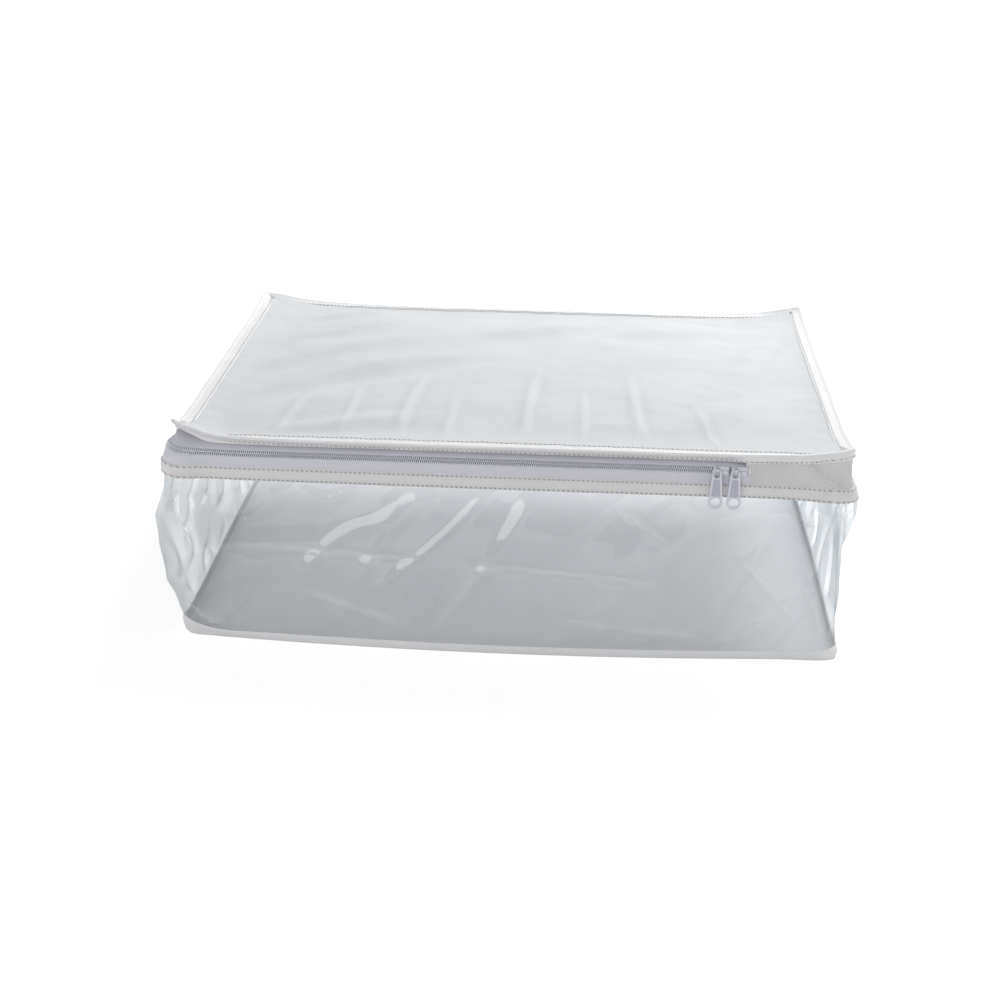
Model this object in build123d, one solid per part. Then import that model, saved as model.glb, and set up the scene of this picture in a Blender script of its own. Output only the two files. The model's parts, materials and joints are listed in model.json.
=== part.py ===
from build123d import *
import os

# Soft zippered under-bed storage box: clear film walls between a fabric base and a
# fabric lid. The coil zipper is L-shaped: it runs along the front header, round the
# front-left corner and along the left header, so the lid's front-left half folds
# back over a diagonal line. Millimetres. X runs along the front, Y from the front
# to the back, Z up, and the origin is the centre of the flat underside.

# ---- overall size ----
LENGTH = 600.0
DEPTH = 450.0
HEIGHT = 200.0

# ---- sheet thicknesses ----
FABRIC = 0.6
FILM = 0.5

# ---- base seam ----
BASE_BINDING_TALL = 8.0

# ---- header, measured down from the top edge ----
TOP_BINDING_TALL = 7.0
TOP_BINDING_WIDE = 12.0
UPPER_TAPE_SHOW = 8.5
CHAIN_WIDE = 5.7
LOWER_TAPE_SHOW = 10.0
STRIP_TALL = 12.0
TAPE_LAP = 4.5
FILM_LAP = 10.0

# ---- zipper chain ----
CHAIN_SPLIT = 0.9
COIL_THICK = 2.2
STOP_LONG = 2.0

# ---- places along the zipper ----
ZIP_FRONT_END_MARGIN = 89.0
ZIP_LEFT_END_MARGIN = 45.0
FOLD_FRONT_SETBACK = 34.0
FOLD_LEFT_SETBACK = 8.0
FOLD_GAP = 0.4

# ---- slider ----
SLIDER_LONG = 14.0
SLIDER_PLATE = 1.4
SLIDER_LIP = 1.2
SLIDER_CORNER = 2.4
SLIDER_CLEAR = 0.3
SLIDER_PITCH = 16.0
SLIDER_END_GAP = 0.6
NECK_LONG = 3.0
NECK_THICK = 0.4

# ---- bridge loop that the pull's eye hangs in, and the cap beside it ----
EYE_OFFSET = -3.4
EYE_RISE = 1.8
BRIDGE_WINDOW = 3.0
BRIDGE_BAR = 1.1
BRIDGE_WIDE = 2.0
CAP_RADIUS = 1.2
CAP_PROUD = 2.6
CAP_END_MARGIN = 1.0
CAP_CLEAR = 0.8

# ---- pull ----
PULL_THICK = 1.4
PULL_LONG = 38.0
PULL_TOP_RADIUS = 4.1
PULL_END_RADIUS = 6.3
EYE_RIM = 1.4
EYE_LONG = 6.8
EYE_WIDE = 5.2
PULL_WINDOW_RADIUS = 4.1
PULL_WINDOW_RISE = 0.6
PULL_RECESS = 0.3
PULL_RECESS_RIM = 1.1

# ---- levels that follow from the sizes above ----
PANEL_TOP = HEIGHT - FABRIC
PANEL_UNDER = PANEL_TOP - FABRIC
BINDING_LOW = HEIGHT - TOP_BINDING_TALL
CHAIN_TOP = BINDING_LOW - UPPER_TAPE_SHOW
CHAIN_MID = CHAIN_TOP - CHAIN_WIDE / 2
CHAIN_LOW = CHAIN_TOP - CHAIN_WIDE
STRIP_TOP = CHAIN_LOW - LOWER_TAPE_SHOW
STRIP_LOW = STRIP_TOP - STRIP_TALL
TAPE_LOW = STRIP_TOP - TAPE_LAP
FILM_TOP = STRIP_LOW + FILM_LAP

# Each wall is a sandwich of three layers, counted inwards from the outside:
# bindings and strips, then film, then zipper tape and header bands.
OUTER = (0.0, FABRIC)
MIDDLE = (FABRIC, FABRIC + FILM)
INNER = (FABRIC + FILM, 2 * FABRIC + FILM)

# ---- places that follow ----
ZIP_FRONT_END = LENGTH / 2 - ZIP_FRONT_END_MARGIN
ZIP_LEFT_END = DEPTH / 2 - ZIP_LEFT_END_MARGIN
FOLD_FRONT = (ZIP_FRONT_END - FOLD_FRONT_SETBACK, -DEPTH / 2)
FOLD_LEFT = (-LENGTH / 2, ZIP_LEFT_END - FOLD_LEFT_SETBACK)
SLIDER_RIGHT_X = ZIP_FRONT_END - STOP_LONG - SLIDER_END_GAP - SLIDER_LONG / 2
SLIDER_LEFT_X = SLIDER_RIGHT_X - SLIDER_PITCH
FAR = 4 * (LENGTH + DEPTH + HEIGHT)

# The coil lies on the outer face of its tape, and the slider's plates clear both.
TAPE_FACE_Y = -DEPTH / 2 + INNER[0]
TAPE_BACK_Y = -DEPTH / 2 + INNER[1]
COIL_FACE_Y = TAPE_FACE_Y - COIL_THICK
PLATE_IN_Y = COIL_FACE_Y - SLIDER_CLEAR
PLATE_OUT_Y = PLATE_IN_Y - SLIDER_PLATE

# The pull turns on the rim above its eye, which lies in the middle of the bridge loop.
HINGE_Y = PLATE_OUT_Y - BRIDGE_WINDOW / 2
HINGE_Z = CHAIN_MID + EYE_RISE

PARTS = {}


def block(x, y, z):
    """A box from its low and high limits along each axis."""
    size = (x[1] - x[0], y[1] - y[0], z[1] - z[0])
    centre = ((x[0] + x[1]) / 2, (y[0] + y[1]) / 2, (z[0] + z[1]) / 2)
    return Pos(*centre) * Box(*size)


def wall(side, layer, low, high, start=None, end=None):
    """A straight upright sheet on one side of the box, between two heights.

    layer gives its outer and inner depth. start and end are places along the side,
    X on the front and back and Y on the left and right, and default to the corners.
    """
    outer, inner = layer
    if side in ("front", "back"):
        reach = LENGTH / 2 - outer
        along = (-reach if start is None else start, reach if end is None else end)
        across = (-DEPTH / 2 + outer, -DEPTH / 2 + inner)
        if side == "back":
            across = (-across[1], -across[0])
        return block(along, across, (low, high))
    reach = DEPTH / 2 - inner
    along = (-reach if start is None else start, reach if end is None else end)
    across = (-LENGTH / 2 + outer, -LENGTH / 2 + inner)
    if side == "right":
        across = (-across[1], -across[0])
    return block(across, along, (low, high))


def fold_zones():
    """Everything on the flap's side of the fold line, and everything on the lid's."""
    along = Vector(FOLD_LEFT[0] - FOLD_FRONT[0], FOLD_LEFT[1] - FOLD_FRONT[1], 0)
    fold = Plane(origin=(FOLD_FRONT[0], FOLD_FRONT[1], 0), x_dir=along, z_dir=(0, 0, 1))
    flap = fold * Pos(0, FOLD_GAP + FAR / 2, 0) * Box(FAR, FAR, FAR)
    lid = fold * Pos(0, -FOLD_GAP - FAR / 2, 0) * Box(FAR, FAR, FAR)
    return flap, lid


def base():
    """Fabric base and the tape bound round its seam."""
    inset = FABRIC
    x = (-LENGTH / 2 + inset, LENGTH / 2 - inset)
    y = (-DEPTH / 2 + inset, DEPTH / 2 - inset)
    PARTS["base_panel"] = block(x, y, (0, FABRIC))
    for side in ("front", "back", "left", "right"):
        PARTS[f"base_binding_{side}"] = wall(side, OUTER, 0, BASE_BINDING_TALL)


def windows():
    """Four clear film walls, standing on the base and lapped into the header."""
    for side in ("front", "back", "left", "right"):
        PARTS[f"{side}_window"] = wall(side, MIDDLE, FABRIC, FILM_TOP)


def headers():
    """Plain fabric header where there is no zipper, and the strip stitched all round."""
    PARTS["header_front_patch"] = wall("front", INNER, TAPE_LOW, PANEL_UNDER, start=ZIP_FRONT_END)
    PARTS["header_left_patch"] = wall("left", INNER, TAPE_LOW, PANEL_UNDER, start=ZIP_LEFT_END)
    PARTS["header_right"] = wall("right", INNER, TAPE_LOW, PANEL_UNDER)
    PARTS["header_back"] = wall("back", INNER, TAPE_LOW, PANEL_UNDER)
    for side in ("front", "back", "left", "right"):
        PARTS[f"facing_strip_{side}"] = wall(side, OUTER, STRIP_LOW, STRIP_TOP)


def top_binding(side):
    """Tape folded over the top edge: a leaf down the wall and a leaf on the lid."""
    wall_leaf = wall(side, OUTER, BINDING_LOW, HEIGHT)
    lid_leaf = wall(side, (FABRIC, TOP_BINDING_WIDE), PANEL_TOP, HEIGHT)
    return wall_leaf + lid_leaf


def lid(flap_zone, lid_zone):
    """The lid panel and its bindings, split where the opened flap folds back."""
    x = (-LENGTH / 2 + FABRIC, LENGTH / 2 - FABRIC)
    y = (-DEPTH / 2 + FABRIC, DEPTH / 2 - FABRIC)
    panel = block(x, y, (PANEL_UNDER, PANEL_TOP))
    PARTS["top_panel"] = panel & lid_zone
    PARTS["top_panel_flap"] = panel & flap_zone
    for side in ("back", "right"):
        PARTS[f"top_binding_{side}"] = top_binding(side)
    for side in ("front", "left"):
        run = top_binding(side)
        PARTS[f"top_binding_{side}"] = run & lid_zone
        PARTS[f"top_binding_{side}_flap"] = run & flap_zone


def zipper(flap_zone, lid_zone):
    """Two tapes, each with its coil: the lower stays, the upper opens with the flap."""
    half_split = CHAIN_SPLIT / 2
    low = (TAPE_LOW, CHAIN_MID - half_split)
    high = (CHAIN_MID + half_split, PANEL_UNDER)
    coil_low = (CHAIN_LOW, CHAIN_MID - half_split)
    coil_high = (CHAIN_MID + half_split, CHAIN_TOP)
    coil_layer = (INNER[0] - COIL_THICK, INNER[0])
    ends = {"front": ZIP_FRONT_END, "left": ZIP_LEFT_END}
    for side, end in ends.items():
        PARTS[f"zipper_tape_lower_{side}"] = wall(side, INNER, *low, end=end)
        PARTS[f"zipper_coil_lower_{side}"] = wall(side, coil_layer, *coil_low, end=end - STOP_LONG)
        tape = wall(side, INNER, *high, end=end)
        coil = wall(side, coil_layer, *coil_high, end=end - STOP_LONG)
        PARTS[f"zipper_tape_upper_{side}_flap"] = tape & flap_zone
        PARTS[f"zipper_coil_upper_{side}_flap"] = coil & flap_zone
        PARTS[f"zipper_tape_upper_{side}_end"] = tape & lid_zone
        PARTS[f"zipper_coil_upper_{side}_end"] = coil & lid_zone
        PARTS[f"zipper_stop_{side}"] = wall(
            side, coil_layer, CHAIN_LOW, CHAIN_TOP, start=end - STOP_LONG, end=end)


def slider():
    """Slider at the origin, X along the chain: two plates joined through the split."""
    half_long = SLIDER_LONG / 2
    half_tall = CHAIN_WIDE / 2 + SLIDER_CLEAR + SLIDER_LIP
    outline = Plane.XZ * RectangleRounded(SLIDER_LONG, 2 * half_tall, SLIDER_CORNER)
    front = Pos(0, PLATE_IN_Y, 0) * extrude(outline, SLIDER_PLATE)
    back_out = TAPE_BACK_Y + SLIDER_CLEAR + SLIDER_PLATE
    back = Pos(0, back_out, 0) * extrude(outline, SLIDER_PLATE)
    half_neck = NECK_THICK / 2
    neck_end = half_long - SLIDER_CORNER
    neck = block((neck_end - NECK_LONG, neck_end), (PLATE_IN_Y, back_out), (-half_neck, half_neck))
    body = front + back + neck
    lip_end = half_long - SLIDER_CORNER
    for side in (-1, 1):
        edges = sorted((side * half_tall, side * (half_tall - SLIDER_LIP)))
        body += block((-lip_end, lip_end), (PLATE_IN_Y, TAPE_FACE_Y - SLIDER_CLEAR), edges)
    return body + bridge(half_long)


def bridge(half_long):
    """Loop through the pull's eye, standing on the front plate, and the cap beside it."""
    half_wide = BRIDGE_WIDE / 2
    half_window = BRIDGE_WINDOW / 2
    reach = half_window + BRIDGE_BAR
    x = (EYE_OFFSET - half_wide, EYE_OFFSET + half_wide)
    y = (PLATE_OUT_Y - BRIDGE_WINDOW - BRIDGE_BAR, PLATE_OUT_Y)
    loop = block(x, y, (EYE_RISE - reach, EYE_RISE + reach))
    window_y = (PLATE_OUT_Y - BRIDGE_WINDOW, PLATE_OUT_Y)
    loop -= block(x, window_y, (EYE_RISE - half_window, EYE_RISE + half_window))
    cap_x = (EYE_OFFSET + PULL_TOP_RADIUS + CAP_CLEAR, half_long - CAP_END_MARGIN)
    cap_y = PLATE_OUT_Y - CAP_PROUD + CAP_RADIUS
    cap_long = cap_x[1] - cap_x[0]
    cap = Pos((cap_x[0] + cap_x[1]) / 2, cap_y, 0) * Rot(0, 90, 0) * Cylinder(CAP_RADIUS, cap_long)
    foot = block(cap_x, (cap_y, PLATE_OUT_Y), (-CAP_RADIUS, CAP_RADIUS))
    return loop + cap + foot


def pull():
    """Tapered pull tab with the middle of the rim above its eye at the origin."""
    top_z = EYE_RIM / 2 - PULL_TOP_RADIUS
    end_z = EYE_RIM / 2 - PULL_LONG + PULL_END_RADIUS
    tab = make_hull((Pos(0, top_z) * Circle(PULL_TOP_RADIUS)).edges()
                    + (Pos(0, end_z) * Circle(PULL_END_RADIUS)).edges())
    eye_z = -EYE_RIM / 2 - EYE_LONG / 2
    eye = Pos(0, eye_z) * Rot(0, 0, 90) * SlotOverall(EYE_LONG, EYE_WIDE)
    window = Pos(0, end_z + PULL_WINDOW_RISE) * Circle(PULL_WINDOW_RADIUS)
    sheet = Plane.XZ * (tab - eye - window)
    body = extrude(sheet, PULL_THICK / 2, both=True)
    floor_top = eye_z - EYE_LONG / 2 - PULL_RECESS_RIM
    floor_low = end_z + PULL_WINDOW_RISE + PULL_WINDOW_RADIUS + PULL_RECESS_RIM
    half_wide = PULL_TOP_RADIUS - PULL_RECESS_RIM
    recess = block((-half_wide, half_wide), (-PULL_THICK, -PULL_THICK / 2 + PULL_RECESS),
                   (floor_low, floor_top))
    return body - recess


def pull_tabs_and_sliders():
    """The two parked sliders, each with its own pull."""
    for name, x in (("left", SLIDER_LEFT_X), ("right", SLIDER_RIGHT_X)):
        PARTS[f"slider_{name}"] = Pos(x, 0, CHAIN_MID) * slider()
        PARTS[f"pull_{name}"] = Pos(x + EYE_OFFSET, HINGE_Y, HINGE_Z) * pull()


def main():
    flap_zone, lid_zone = fold_zones()
    base()
    windows()
    headers()
    lid(flap_zone, lid_zone)
    zipper(flap_zone, lid_zone)
    pull_tabs_and_sliders()
    os.makedirs("parts", exist_ok=True)
    for name, shape in PARTS.items():
        export_step(shape, f"parts/{name}.step")
    print("fold from", FOLD_FRONT, "to", FOLD_LEFT, "at height", HEIGHT)
    print("pull hinges at y", HINGE_Y, "z", HINGE_Z)
    print("sliders at x", SLIDER_LEFT_X, SLIDER_RIGHT_X, "eye offset", EYE_OFFSET)


main()
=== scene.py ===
import json
import math
import bpy
import numpy as np
from mathutils import Matrix, Vector, noise


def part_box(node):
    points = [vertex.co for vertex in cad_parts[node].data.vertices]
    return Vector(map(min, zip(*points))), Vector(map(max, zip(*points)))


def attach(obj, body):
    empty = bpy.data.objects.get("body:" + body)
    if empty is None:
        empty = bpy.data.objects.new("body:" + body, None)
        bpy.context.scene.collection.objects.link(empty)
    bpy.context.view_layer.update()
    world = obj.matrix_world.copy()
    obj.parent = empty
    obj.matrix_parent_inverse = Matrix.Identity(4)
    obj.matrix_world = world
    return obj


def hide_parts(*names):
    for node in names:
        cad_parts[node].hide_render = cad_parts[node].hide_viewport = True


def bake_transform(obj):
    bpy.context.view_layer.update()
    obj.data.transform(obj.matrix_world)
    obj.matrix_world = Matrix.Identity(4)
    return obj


# A soft zippered under-bed storage box, filled out as if it were packed. Each sheet and
# tape is laid out flat, at the size the frame gives it, and then draped: its place is
# its distance round the outline, its height, and how far out it lies, and one set of
# functions bows and sags all the pieces together so that they stay joined.

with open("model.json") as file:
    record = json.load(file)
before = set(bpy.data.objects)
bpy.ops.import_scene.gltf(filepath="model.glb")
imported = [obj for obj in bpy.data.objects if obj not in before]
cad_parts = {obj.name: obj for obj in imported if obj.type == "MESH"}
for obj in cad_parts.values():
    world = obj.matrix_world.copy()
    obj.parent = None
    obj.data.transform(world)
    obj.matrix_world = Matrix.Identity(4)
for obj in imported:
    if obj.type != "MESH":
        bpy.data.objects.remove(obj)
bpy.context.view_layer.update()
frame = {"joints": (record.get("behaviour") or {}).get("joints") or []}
MM = 0.001

# ---- sizes and places read from the frame ----
HALF_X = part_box("top_binding_right")[1].x
HALF_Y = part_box("top_binding_back")[1].y
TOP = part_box("top_binding_back")[1].z
BINDING_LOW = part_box("top_binding_back")[0].z
BINDING_WIDE = HALF_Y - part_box("top_binding_back")[0].y
CHAIN_LOW, CHAIN_TOP = (corner.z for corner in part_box("zipper_stop_front"))
CHAIN_MID = (CHAIN_LOW + CHAIN_TOP) / 2
STRIP_LOW, STRIP_TOP = (corner.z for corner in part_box("facing_strip_front"))
TAPE_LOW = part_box("zipper_tape_lower_front")[0].z
FILM_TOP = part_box("front_window")[1].z
BASE_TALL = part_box("base_binding_front")[1].z
ZIP_FRONT_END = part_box("header_front_patch")[0].x
ZIP_LEFT_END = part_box("header_left_patch")[0].y
STOP_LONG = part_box("zipper_stop_front")[1].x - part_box("zipper_stop_front")[0].x
JOINTS = {joint["name"]: joint for joint in frame["joints"]}

PERIMETER = 4 * (HALF_X + HALF_Y)
# The outline's sides, and the corners they start at, anticlockwise from the front left.
SIDE_START = np.array([0.0, 2 * HALF_X, 2 * HALF_X + 2 * HALF_Y, 4 * HALF_X + 2 * HALF_Y])
SIDE_LONG = np.array([2 * HALF_X, 2 * HALF_Y, 2 * HALF_X, 2 * HALF_Y])
CORNERS = np.array([(-HALF_X, -HALF_Y), (HALF_X, -HALF_Y), (HALF_X, HALF_Y), (-HALF_X, HALF_Y)])
HEADINGS = np.array([(1.0, 0.0), (0.0, 1.0), (-1.0, 0.0), (0.0, -1.0)])

# ---- cloth and film ----
FABRIC = 0.6 * MM
CORNER_REACH = 20 * MM
ROUND_CORNER = 0.75  # the outline's sharpness below the header
SQUARER = 1.6  # and what its header adds to that
STITCH_PITCH = 4.3 * MM
TOOTH_PITCH = 1.8 * MM
HAIR = 0.01 * MM

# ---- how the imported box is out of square, the first three in the order of its sides ----
EDGE_SAG = np.array([-4.5, -5.0, -13.0, -5.0]) * MM
WALL_BOW = np.array([16, 11, 12, 11]) * MM
EARS = np.array([7.5, 4.5, 1.5, 1.5]) * MM
EAR_REACH = 26 * MM
CORNER_LIFT = 3.5 * MM
CROWN = 20.5 * MM
WRINKLE_GAIN = 1.6
CORNER_BOW = 19 * MM
BACK_CORNER_BOW = 8 * MM
CORNER_BOW_REACH = 75 * MM
ZIP_BOW_REACH = 20 * MM  # shorter beside the zipper, so that the left slider stays in front of it


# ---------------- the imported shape

def ease(value):
    """0 to 1, smooth at both ends."""
    t = np.clip(value, 0, 1)
    return t * t * (3 - 2 * t)


def hump(value):
    """1 at 0, fading either side."""
    return np.exp(-np.square(value))


def side_of(s):
    """Which side of the outline s lies on, and how far along it, from -1 to 1."""
    s = np.mod(s, PERIMETER)
    index = np.clip(np.searchsorted(SIDE_START, s, side="right") - 1, 0, 3)
    return index, 2 * (s - SIDE_START[index]) / SIDE_LONG[index] - 1


def corner_gap(s, corner):
    """Signed distance along the outline from a corner."""
    return np.mod(s - SIDE_START[corner] + PERIMETER / 2, PERIMETER) - PERIMETER / 2


def abreast(x, y, margin):
    """The places on the four sides, front first, that lie level with points inside them."""
    ways = (x + HALF_X, y + HALF_Y, HALF_X - x, HALF_Y - y)
    return [start + np.clip(way, margin, long - margin)
            for start, long, way in zip(SIDE_START, SIDE_LONG, ways)]


def outline(s, sharp):
    """Plan place at a distance s from the front-left corner, anticlockwise from above.

    Each corner is a conic whose weight is sharp: 0.7 is round and 3 is nearly square."""
    s = np.asarray(s, float)
    index, _ = side_of(s)
    along = np.mod(s, PERIMETER) - SIDE_START[index]
    place = CORNERS[index] + HEADINGS[index] * along[:, None]
    for corner in range(4):
        gap = corner_gap(s, corner)
        near = np.abs(gap) < CORNER_REACH
        t = (gap / CORNER_REACH + 1) / 2
        before = CORNERS[corner] - HEADINGS[corner - 1] * CORNER_REACH
        after = CORNERS[corner] + HEADINGS[corner] * CORNER_REACH
        weight = (1 - t) ** 2, 2 * sharp * t * (1 - t), t ** 2
        total = weight[0] + weight[1] + weight[2]
        bend = (weight[0][:, None] * before + weight[1][:, None] * CORNERS[corner]
                + weight[2][:, None] * after) / total[:, None]
        place = np.where(near[:, None], bend, place)
    return place


def outward(s, sharp):
    """The outline's outward normal."""
    step = 1 * MM
    tangent = outline(s + step, sharp) - outline(s - step, sharp)
    tangent /= np.linalg.norm(tangent, axis=1)[:, None]
    return np.stack([tangent[:, 1], -tangent[:, 0]], axis=1)


def edge_sag(s):
    """Height of the top edge: low between its corners, which stand up as ears."""
    index, along = side_of(s)
    rise = EDGE_SAG[index] * (1 - along ** 6)
    for corner, ear in enumerate(EARS):
        rise = rise + ear * hump(corner_gap(s, corner) / EAR_REACH)
    return rise


def swell(z, depth, level, spread):
    """A swelling round a level, or a hollow where its depth is below 0, in millimetres."""
    return depth * MM * hump((z - level * MM) / (spread * MM))


def bow(s, z):
    """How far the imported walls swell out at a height."""
    index, along = side_of(s)
    z = np.broadcast_to(z, np.shape(s))
    low = ease((CHAIN_LOW - z) / (100 * MM))
    middle = np.sin(math.pi * np.clip(z / CHAIN_TOP, 0, 1))
    shape = np.where(index == 0, low, 0.25 * low + 0.75 * middle)
    out = WALL_BOW[index] * (1 - along ** 2) * shape
    left = CORNER_BOW * np.sin(math.pi * np.clip(z / TOP, 0, 1) ** 0.9)
    tight = ease((z - 90 * MM) / (40 * MM)) * (index == 0)
    reach = CORNER_BOW_REACH + (ZIP_BOW_REACH - CORNER_BOW_REACH) * tight
    out = out + left * hump(corner_gap(s, 0) / reach)
    reach = np.where(index == 0, ZIP_BOW_REACH, 60 * MM)
    out = out + swell(z, 5.5, 170, 18) * hump(corner_gap(s, 0) / reach)
    right = (swell(z, 11, 145, 22) + swell(z, -4, 90, 36)
             + 1.5 * MM * ease((z - STRIP_LOW) / (4 * MM)) + 4 * MM * ease((30 * MM - z) / (30 * MM)))
    out = out + right * hump(corner_gap(s, 1) / (40 * MM))
    for corner in (2, 3):
        out = out + BACK_CORNER_BOW * middle * hump(corner_gap(s, corner) / CORNER_BOW_REACH)
    return out


def base_curl(s):
    """How much taller the base's turned-up edge stands at its front corners."""
    return 9 * MM * hump(corner_gap(s, 0) / (22 * MM)) + 3 * MM * hump(corner_gap(s, 1) / (25 * MM))


def wrap(s, out, z):
    """Drape points given by distance round the outline, distance out, and height."""
    s, out, z = (np.asarray(v, float) for v in (s, out, z))
    sharp = ROUND_CORNER + SQUARER * ease((z - CHAIN_TOP) / (TOP - CHAIN_TOP))
    header = ROUND_CORNER + SQUARER * ease((z - STRIP_LOW + 12 * MM) / (12 * MM))
    sharp = np.where(np.abs(corner_gap(s, 0)) < 2 * CORNER_REACH, sharp, header) + 1 - ease(z / (25 * MM))
    plan = outline(s, sharp)
    normal = outward(s, sharp)
    place = plan + normal * (out + bow(s, z))[:, None]
    edge = ease((z - CHAIN_TOP) / (BINDING_LOW - CHAIN_TOP + 2 * MM))
    lifted = CORNER_LIFT * ease((z - 100 * MM) / (50 * MM)) * hump(corner_gap(s, 0) / EAR_REACH)
    curled = base_curl(s) * ease(z / BASE_TALL) * (1 - ease((z - BASE_TALL) / (50 * MM)))
    height = z + edge * edge_sag(s) + lifted + curled
    return np.column_stack([place, height])


# ---------------- modelling helpers

def clear_selection():
    bpy.ops.object.select_all(action="DESELECT")


def take(piece):
    """Make one piece the only one selected, and the active one."""
    clear_selection()
    piece.select_set(True)
    bpy.context.view_layer.objects.active = piece
    return piece


def named(name):
    """The piece that was just added, under its own name."""
    piece = bpy.context.object
    piece.name = name
    piece.data.name = name
    return piece


def add_shape(name, operator, **settings):
    """Add one of Blender's mesh shapes, as the only piece selected."""
    clear_selection()
    operator(**settings)
    return named(name)


def finish_modifier(piece, kind, **settings):
    """Add a modifier, set it and apply it."""
    take(piece)
    modifier = piece.modifiers.new(kind.title(), kind)
    for key, value in settings.items():
        setattr(modifier, key, value)
    bpy.ops.object.modifier_apply(modifier=modifier.name)
    return piece


def points(piece):
    co = np.empty(len(piece.data.vertices) * 3)
    piece.data.vertices.foreach_get("co", co)
    return co.reshape(-1, 3)


def move_points(piece, co):
    piece.data.vertices.foreach_set("co", np.ascontiguousarray(co, float).ravel())
    piece.data.update()


def freeze(piece):
    """Apply place, turn and size, so the piece's object sits at the origin."""
    take(piece)
    bpy.ops.object.transform_apply(location=True, rotation=True, scale=True)
    return piece


def join(name, pieces):
    """Join pieces into one mesh."""
    clear_selection()
    for piece in pieces:
        piece.select_set(True)
    bpy.context.view_layer.objects.active = pieces[0]
    bpy.ops.object.join()
    return named(name)


def keep_flat_places(piece, flat):
    """Store each point's place on the flat sheet, in metres, as the UV map that weaves follow."""
    layer = piece.data.uv_layers.get("flat") or piece.data.uv_layers.new(name="flat")
    corners = np.empty(len(piece.data.loops), int)
    piece.data.loops.foreach_get("vertex_index", corners)
    layer.data.foreach_set("uv", flat[corners].ravel())


def smooth(piece, degrees=40):
    take(piece)
    bpy.ops.object.shade_smooth_by_angle(angle=math.radians(degrees))
    return piece


def flat_grid(name, columns, rows):
    """A grid of the given number of cells, with points from 0 to 1 both ways."""
    piece = add_shape(name, bpy.ops.mesh.primitive_grid_add, x_subdivisions=columns, y_subdivisions=rows,
                      size=1)
    co = points(piece)
    return piece, co[:, 0] + 0.5, co[:, 1] + 0.5


def profile(*rows):
    """The line across a sheet: each row is how far out, a height, and how far above that height.

    The two distances are in millimetres."""
    return [(out * MM, level + above * MM) for out, level, above in rows]


def ribbon(name, start, end, section, step, thick=FABRIC, relief=None, rows=None, spacing=None):
    """A sheet draped round the outline from start to end.

    section is the line across it, as (out, height) points, and relief adds to out."""
    columns = max(2, round((end - start) / step))
    rows = rows or 2 * (len(section) - 1)
    piece, along, across = flat_grid(name, columns, rows)
    s = spacing(along) if spacing else start + (end - start) * along
    knots = np.linspace(0, 1, len(section))
    out, z = (np.interp(across, knots, [point[axis] for point in section]) for axis in (0, 1))
    if relief:
        out = out + relief(s, z)
    keep_flat_places(piece, np.column_stack([s, z]))
    move_points(piece, wrap(s, out, z))
    closed = abs(end - start - PERIMETER) < 1 * MM
    if closed:
        take(piece)
        bpy.ops.object.mode_set(mode="EDIT")
        bpy.ops.mesh.select_all(action="SELECT")
        bpy.ops.mesh.remove_doubles(threshold=0.05 * MM)
        bpy.ops.object.mode_set(mode="OBJECT")
    if thick:
        finish_modifier(piece, "SOLIDIFY", thickness=thick, offset=-1)
    return smooth(piece, 50)


def bead(name, segments, rings, size, slant, turn=0):
    """A small ellipsoid, its size in millimetres, turned about Y before it is stretched.

    slant names the axis that shifts, the axis it shifts along, and by how much."""
    piece = freeze(add_shape(name, bpy.ops.mesh.primitive_uv_sphere_add, segments=segments, ring_count=rings,
                             radius=0.5, rotation=(0, math.radians(turn), 0)))
    bpy.ops.transform.resize(value=[length * MM for length in size])
    co = points(freeze(piece))
    shifted, along, share = slant
    co[:, shifted] += co[:, along] * share
    move_points(piece, co)
    return piece


def row_of(name, shape, pitch, start, end, out, z, follow=None):
    """Copies of one small shape, evenly spaced round the outline and draped with it.

    follow adds to how far out they lie, for a row on a surface that bows in and out."""
    piece = freeze(shape)
    finish_modifier(piece, "ARRAY", count=int((end - start) / pitch), use_relative_offset=False,
                    use_constant_offset=True, constant_offset_displace=(pitch, 0, 0))
    co = points(piece)
    s = start + pitch / 2 + co[:, 0]
    shift = follow(s) if follow else 0
    move_points(piece, wrap(s, out + shift - co[:, 1], z + co[:, 2]))
    return named(name)


# ---------------- materials

def linear(colour):
    """An sRGB hex colour as linear RGBA."""
    values = [int(colour[i:i + 2], 16) / 255 for i in (1, 3, 5)]
    return [v / 12.92 if v <= 0.04045 else ((v + 0.055) / 1.055) ** 2.4 for v in values] + [1]


def add(tree, kind, inputs=None, **settings):
    """Add one node with its settings and its links."""
    made = tree.nodes.new(kind)
    for key, value in settings.items():
        setattr(made, key, value)
    for socket, value in (inputs or {}).items():
        if isinstance(value, bpy.types.NodeSocket):
            tree.links.new(value, made.inputs[socket])
        else:
            made.inputs[socket].default_value = value
    return made


def new_material(name, flat=False):
    """An empty material, its nodes, and the place its patterns follow: on the flat sheet or in space."""
    material = bpy.data.materials.new(name)
    material.use_nodes = True
    tree = material.node_tree
    tree.nodes.clear()
    if flat:
        return material, tree, add(tree, "ShaderNodeUVMap", uv_map="flat").outputs["UV"]
    return material, tree, add(tree, "ShaderNodeTexCoord").outputs["Object"]


def finished(material, shader):
    """The material, with its shader joined to the output."""
    add(material.node_tree, "ShaderNodeOutputMaterial", {"Surface": shader})
    return material


def sums(tree, operation, *values):
    """The result of one arithmetic node."""
    return add(tree, "ShaderNodeMath", dict(enumerate(values)), operation=operation).outputs[0]


def layered(tree, *layers):
    """Patterns added up, each times its weight."""
    total = 0.0
    for pattern, weight in layers:
        total = sums(tree, "MULTIPLY_ADD", pattern, weight, total)
    return total


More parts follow.
